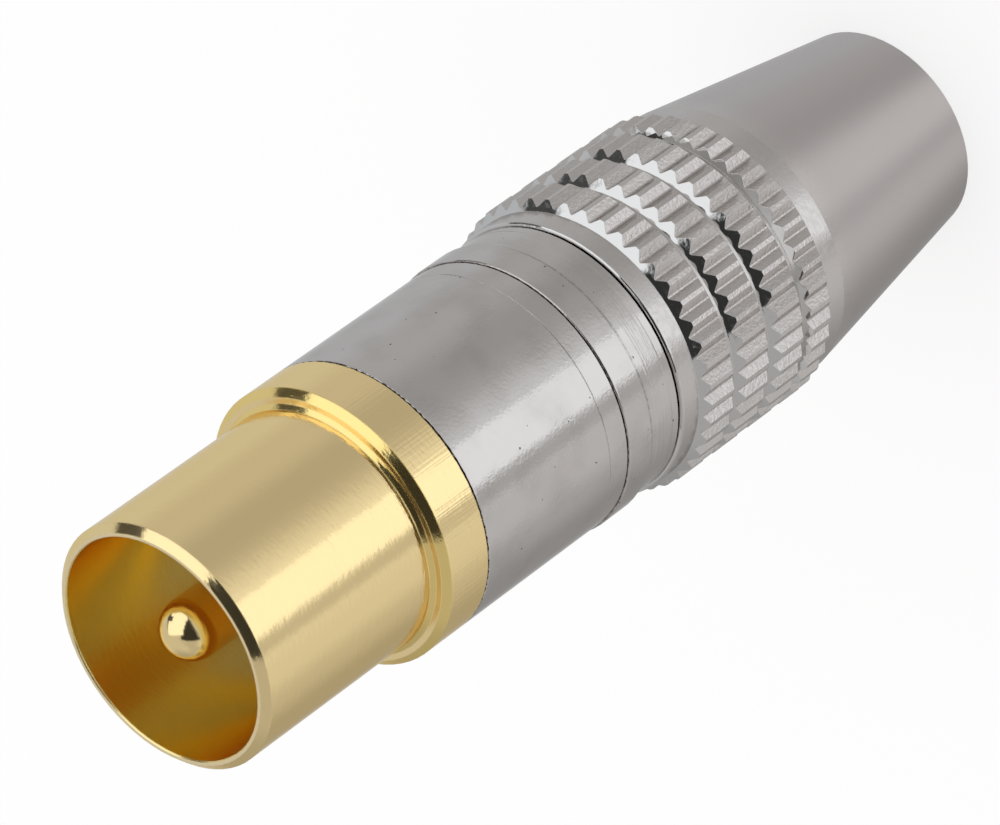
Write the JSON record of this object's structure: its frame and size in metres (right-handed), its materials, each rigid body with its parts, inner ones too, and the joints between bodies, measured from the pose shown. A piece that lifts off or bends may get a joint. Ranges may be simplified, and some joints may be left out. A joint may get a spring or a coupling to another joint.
{
  "type": "coaxial plug",
  "caption": "Straight coaxial aerial plug: gold-plated tubular nose round a round-tipped pin, plain barrel, and a banded knurled screw cap that tapers to the cable hole.",
  "frame": {"origin": "centre of the tail end's face, where the cable goes in, which is what the plug stands on", "axes": "+Z along the plug's axis, from the cable hole to the nose; one tooth of the knurl points to -Y"},
  "size_m": [0.0116, 0.0116, 0.04],
  "materials": {
    "gold_plate": "polished gold plate on brass",
    "nickel_plate": "bright nickel plate on brass",
    "satin_nickel": "satin nickel plate on brass, knurled",
    "bare_brass": "turned bare brass",
    "white_plastic": "turned polyethylene"
  },
  "bodies": {
    "front_body": {"contact_sleeve": "gold_plate", "centre_pin": "gold_plate", "pin_insulator": "white_plastic", "front_barrel": "nickel_plate", "clamp_body": "nickel_plate"},
    "claw": {"cable_claw": "bare_brass"},
    "cap": {"knurled_cap": "satin_nickel"}
  },
  "joints": [
    {"name": "cap_travel", "type": "slide", "parent": "front_body", "child": "claw", "axis": [0, 0, -1], "range_m": [0, 0.0046]},
    {"name": "cap_turn", "type": "hinge", "parent": "claw", "child": "cap", "pos_m": [0, 0, 0.01], "axis": [0, 0, -1], "range_deg": [0, 2160]}
  ],
  "couplings": [
    {"joint": "cap_travel", "follows": "cap_turn", "m_per_rad": 0.00011937}
  ]
}
